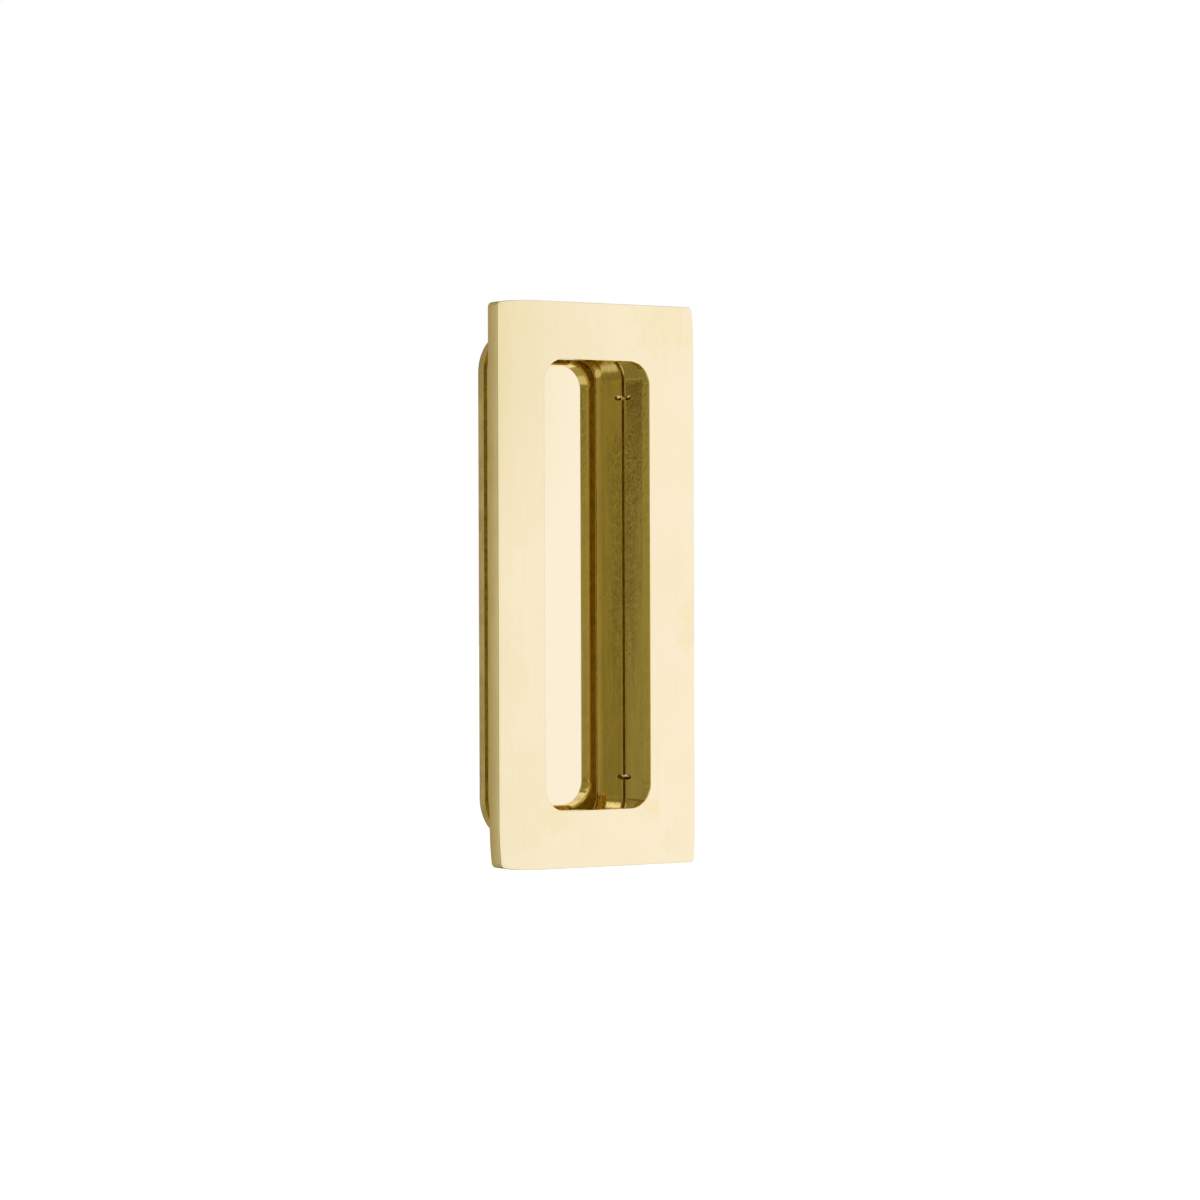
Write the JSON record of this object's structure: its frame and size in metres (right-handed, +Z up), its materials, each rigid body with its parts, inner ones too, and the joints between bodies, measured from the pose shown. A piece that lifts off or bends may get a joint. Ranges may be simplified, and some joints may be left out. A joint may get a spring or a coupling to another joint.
{
  "type": "flush pull",
  "caption": "Rectangular flush pull of polished brass: a face plate with a long finger slot over a shallow, undercut recess, let into a door or drawer front.",
  "frame": {"origin": "centre of the face plate's back, on the surface of the door", "axes": "+X to the right as seen from the front, +Y into the door, +Z up along the pull's length"},
  "size_m": [0.0444, 0.0128, 0.1016],
  "materials": {
    "polished_brass": "mirror polished, unlacquered"
  },
  "bodies": {
    "root": {"pull_body": "polished_brass", "back_plate": "polished_brass"}
  },
  "joints": []
}
